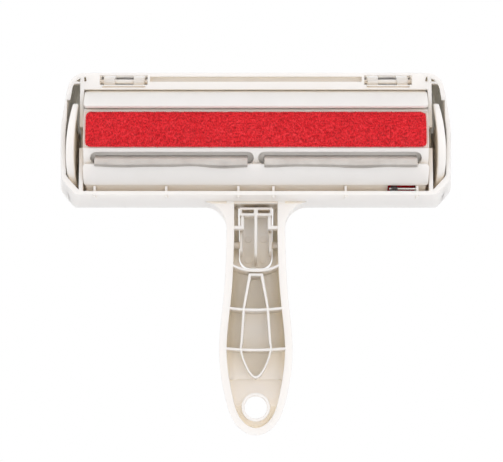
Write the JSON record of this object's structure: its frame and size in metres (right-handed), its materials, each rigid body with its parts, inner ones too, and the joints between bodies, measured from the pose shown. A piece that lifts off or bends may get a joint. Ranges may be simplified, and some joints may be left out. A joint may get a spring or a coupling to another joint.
{
  "type": "lint roller",
  "caption": "T-shaped reusable lint roller: rocking drum with red velour strips and silicone wipers, dirt bin with hinged rear lid, ribbed hollow handle with hang hole.",
  "frame": {"origin": "middle of the hang hole in the handle, on its axis", "axes": "+X along the head, -Y the working face's normal, +Z from the handle up to the head"},
  "size_m": [0.1994, 0.0628, 0.1826],
  "materials": {
    "white_plastic": "satin ivory ABS moulding",
    "cream_plastic": "cream acetal",
    "grey_plastic": "light grey moulded",
    "red_velour": "short directional nylon pile",
    "grey_silicone": "soft translucent grey silicone",
    "steel": "drawn stainless rod",
    "spring_steel": "dark oiled spring wire"
  },
  "bodies": {
    "handle_body": {"frame": "white_plastic", "upper_lip": "white_plastic", "lower_lip": "white_plastic", "bearing_left": "cream_plastic", "bearing_right": "cream_plastic", "hinge_pin_left": "white_plastic", "hinge_pin_right": "white_plastic", "detent_pin": "steel", "detent_spring": "spring_steel"},
    "drum": {"drum_shell": "white_plastic", "velour_upper": "red_velour", "velour_lower": "red_velour", "wiper_left": "grey_silicone", "wiper_right": "grey_silicone", "wiper_clamp": "grey_plastic", "end_rim_left": "white_plastic", "end_rim_right": "white_plastic", "axle_left": "cream_plastic", "axle_right": "cream_plastic"},
    "lid_body": {"lid": "white_plastic"},
    "button_body": {"release_button": "white_plastic"}
  },
  "joints": [
    {"name": "drum_rock", "type": "hinge", "parent": "handle_body", "child": "drum", "pos_m": [0, -0.0168, 0.1327], "axis": [-1, 0, 0], "range_deg": [0, 47]},
    {"name": "lid_hinge", "type": "hinge", "parent": "handle_body", "child": "lid_body", "pos_m": [0, -0.0338, 0.1623], "axis": [1, 0, 0], "range_deg": [0, 90]},
    {"name": "button_press", "type": "hinge", "parent": "handle_body", "child": "button_body", "pos_m": [0, -0.0118, 0.082], "axis": [-1, 0, 0], "range_deg": [0, 5], "stiffness_Nm_per_rad": 0.6}
  ]
}
